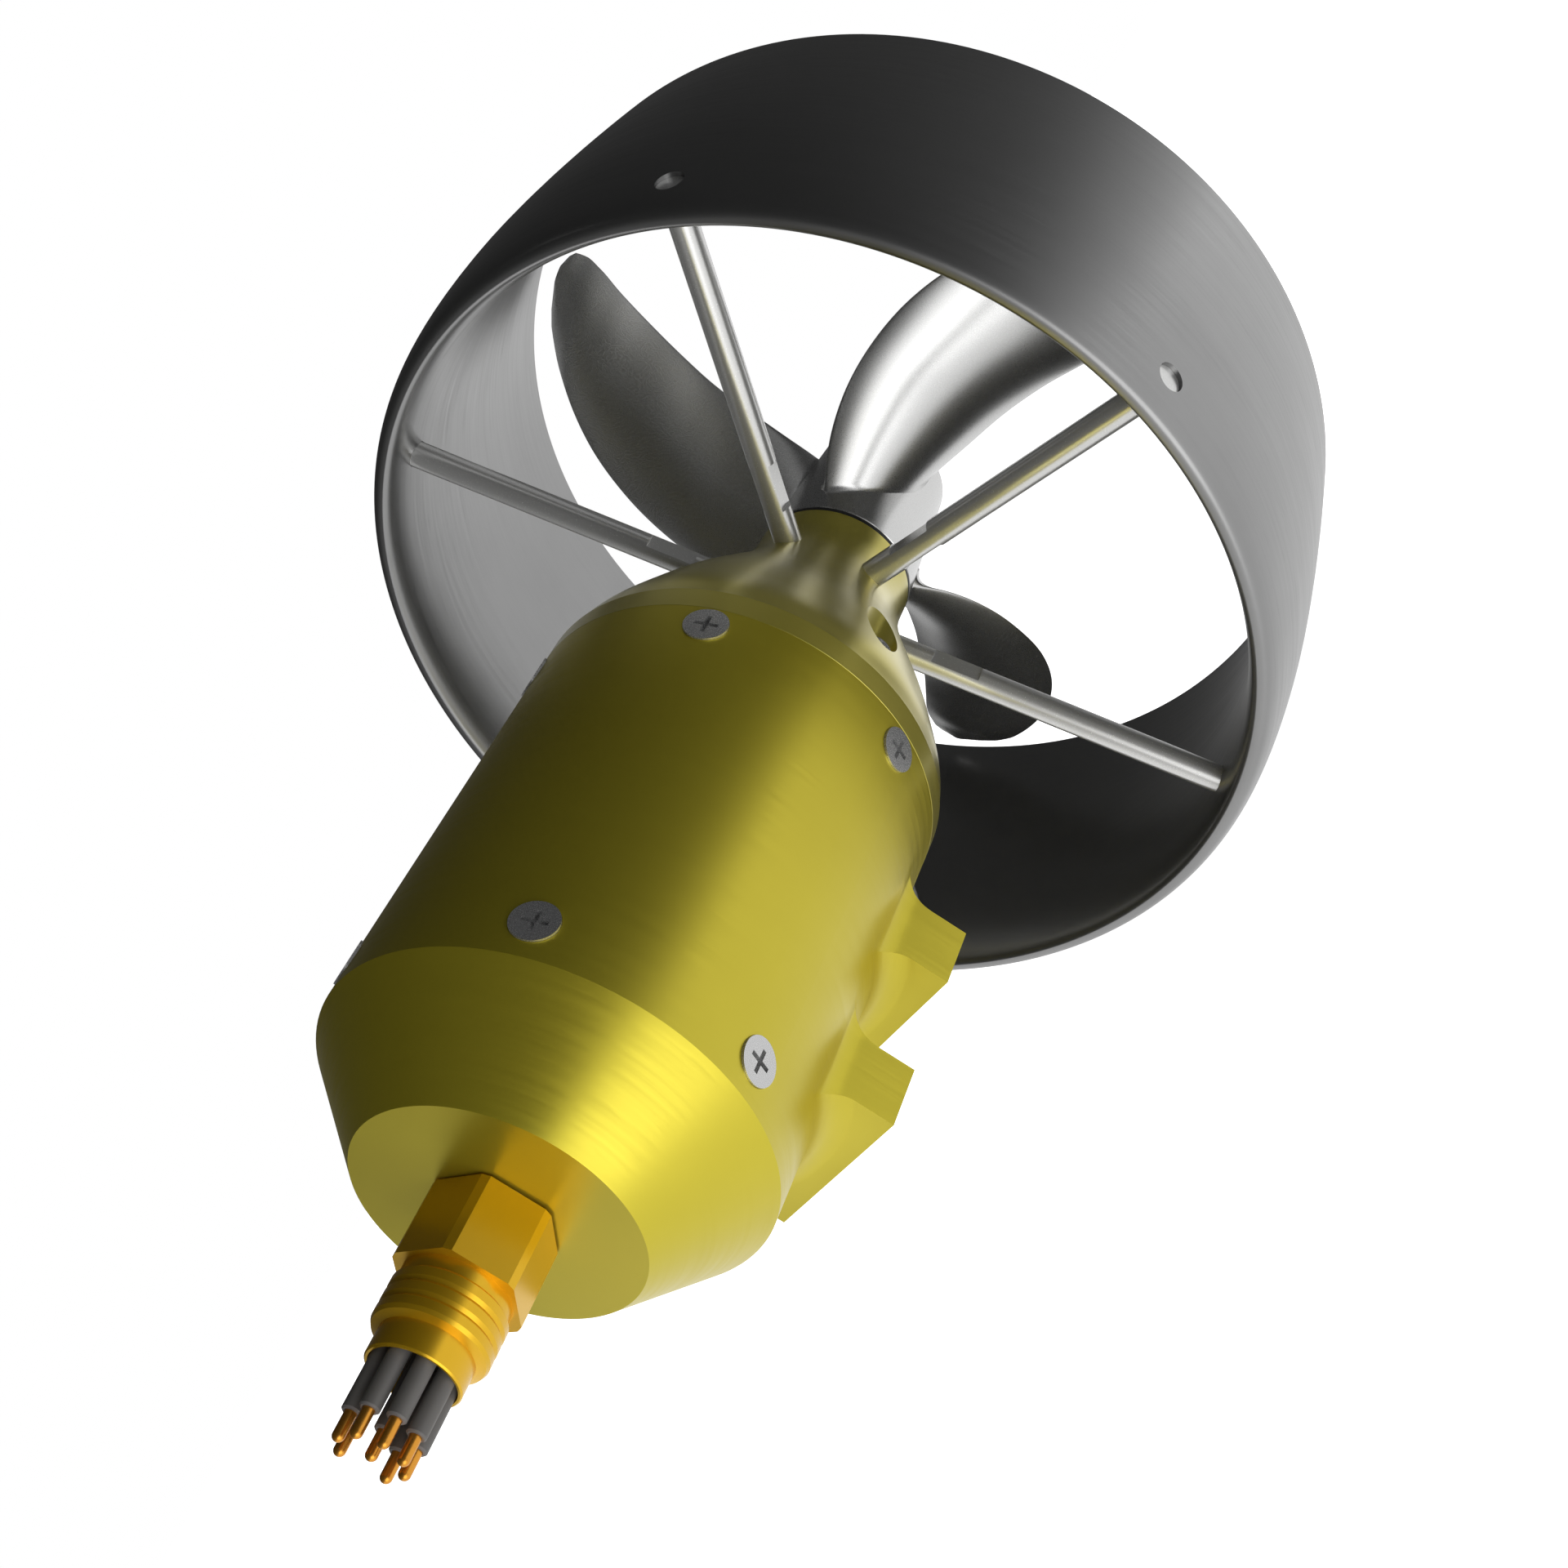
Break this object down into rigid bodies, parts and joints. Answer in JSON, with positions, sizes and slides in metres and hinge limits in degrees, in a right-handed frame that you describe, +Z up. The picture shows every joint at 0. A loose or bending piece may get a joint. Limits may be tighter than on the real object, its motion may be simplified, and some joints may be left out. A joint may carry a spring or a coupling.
{
  "type": "underwater thruster",
  "caption": "Ducted underwater thruster: round motor housing on mounting feet, cone with a cable connector, flared nose, radial struts and a skewed screw propeller in a duct.",
  "frame": {"origin": "middle of the feet's four bolt holes, on the feet's flat lower faces", "axes": "+X along the thruster's axis from the cable connector to the propeller, +Z up from the feet to the housing, +Y to the left when looking along +X"},
  "size_m": [0.3005, 0.2164, 0.2164],
  "materials": {
    "gold_anodised": "satin gold anodised",
    "duct_metal": "satin, grey anodised",
    "polished_steel": "polished",
    "screw_steel": "fine brushed",
    "propeller_metal": "bright satin",
    "connector_metal": "bright gold",
    "contact_metal": "gold plated",
    "black_rubber": "matte",
    "insulator_plastic": "moulded",
    "bearing_steel": "ground",
    "gear_steel": "machined",
    "plain_aluminium": "machined",
    "core_steel": "laminated",
    "magnet_grey": "plated",
    "copper_wire": "enamelled",
    "board_green": "solder mask",
    "part_black": "moulded"
  },
  "bodies": {
    "thruster_body": {"motor_housing": "gold_anodised", "tail_cone": "gold_anodised", "nose": "gold_anodised", "tail_screws": "screw_steel", "nose_screws": "screw_steel", "tail_oring": "black_rubber", "nose_oring": "black_rubber", "bleed_screws": "screw_steel", "spoke_1": "polished_steel", "spoke_2": "polished_steel", "spoke_3": "polished_steel", "spoke_4": "polished_steel", "spoke_5": "polished_steel", "spoke_6": "polished_steel", "duct": "duct_metal", "connector_shell": "connector_metal", "connector_insulator": "insulator_plastic", "contact_sleeves": "black_rubber", "contact_pins": "contact_metal", "connector_seal": "black_rubber", "front_lip_seal": "black_rubber", "rear_lip_seal": "black_rubber", "bearing_circlip": "screw_steel", "shaft_bearing_outer_ring": "bearing_steel", "carrier_bearing_outer_ring": "bearing_steel", "motor_front_bearing_outer_ring": "bearing_steel", "motor_rear_bearing_outer_ring": "bearing_steel", "gearbox_housing": "plain_aluminium", "ring_gear": "gear_steel", "stator_core": "core_steel", "stator_windings": "copper_wire", "motor_front_plate": "plain_aluminium", "motor_rear_plate": "plain_aluminium", "controller_board": "board_green", "board_standoffs": "insulator_plastic", "board_capacitors": "part_black", "power_transistors": "part_black"},
    "propeller_shaft": {"propeller": "propeller_metal", "collar_ring": "black_rubber", "drive_pin": "polished_steel", "propeller_nut": "polished_steel", "output_shaft": "polished_steel", "carrier_plate": "gear_steel", "planet_pins": "gear_steel", "shaft_bearing_inner_ring": "bearing_steel", "carrier_bearing_inner_ring": "bearing_steel"},
    "motor_rotor": {"rotor_shaft": "gear_steel", "rotor_core": "core_steel", "rotor_magnets": "magnet_grey", "sun_gear": "gear_steel", "motor_front_bearing_inner_ring": "bearing_steel", "motor_rear_bearing_inner_ring": "bearing_steel"},
    "planet_1": {"planet_gear_1": "gear_steel"},
    "planet_2": {"planet_gear_2": "gear_steel"},
    "planet_3": {"planet_gear_3": "gear_steel"},
    "shaft_bearing_ball_set": {"shaft_bearing_balls": "bearing_steel"},
    "carrier_bearing_ball_set": {"carrier_bearing_balls": "bearing_steel"},
    "motor_front_ball_set": {"motor_front_bearing_balls": "bearing_steel"},
    "motor_rear_ball_set": {"motor_rear_bearing_balls": "bearing_steel"}
  },
  "joints": [
    {"name": "propeller_spin", "type": "hinge", "parent": "thruster_body", "child": "propeller_shaft", "pos_m": [0.14125, 0, 0.0542], "axis": [1, 0, 0], "continuous": true},
    {"name": "rotor_spin", "type": "hinge", "parent": "thruster_body", "child": "motor_rotor", "pos_m": [0, 0, 0.0542], "axis": [1, 0, 0], "continuous": true},
    {"name": "planet_spin_1", "type": "hinge", "parent": "propeller_shaft", "child": "planet_1", "pos_m": [0.0509, 0, 0.0398], "axis": [1, 0, 0], "continuous": true},
    {"name": "planet_spin_2", "type": "hinge", "parent": "propeller_shaft", "child": "planet_2", "pos_m": [0.0509, 0.01247, 0.0614], "axis": [1, 0, 0], "continuous": true},
    {"name": "planet_spin_3", "type": "hinge", "parent": "propeller_shaft", "child": "planet_3", "pos_m": [0.0509, -0.01247, 0.0614], "axis": [1, 0, 0], "continuous": true},
    {"name": "shaft_bearing_spin", "type": "hinge", "parent": "thruster_body", "child": "shaft_bearing_ball_set", "pos_m": [0.091, 0, 0.0542], "axis": [1, 0, 0], "continuous": true},
    {"name": "carrier_bearing_spin", "type": "hinge", "parent": "thruster_body", "child": "carrier_bearing_ball_set", "pos_m": [0.0685, 0, 0.0542], "axis": [1, 0, 0], "continuous": true},
    {"name": "motor_front_bearing_spin", "type": "hinge", "parent": "thruster_body", "child": "motor_front_ball_set", "pos_m": [0.0208, 0, 0.0542], "axis": [1, 0, 0], "continuous": true},
    {"name": "motor_rear_bearing_spin", "type": "hinge", "parent": "thruster_body", "child": "motor_rear_ball_set", "pos_m": [-0.029, 0, 0.0542], "axis": [1, 0, 0], "continuous": true}
  ],
  "couplings": [
    {"joint": "rotor_spin", "follows": "propeller_spin", "ratio": 4},
    {"joint": "planet_spin_1", "follows": "propeller_spin", "ratio": -3},
    {"joint": "planet_spin_2", "follows": "propeller_spin", "ratio": -3},
    {"joint": "planet_spin_3", "follows": "propeller_spin", "ratio": -3},
    {"joint": "shaft_bearing_spin", "follows": "propeller_spin", "ratio": 0.36364},
    {"joint": "carrier_bearing_spin", "follows": "propeller_spin", "ratio": 0.43077},
    {"joint": "motor_front_bearing_spin", "follows": "propeller_spin", "ratio": 1.376},
    {"joint": "motor_rear_bearing_spin", "follows": "propeller_spin", "ratio": 1.376}
  ]
}
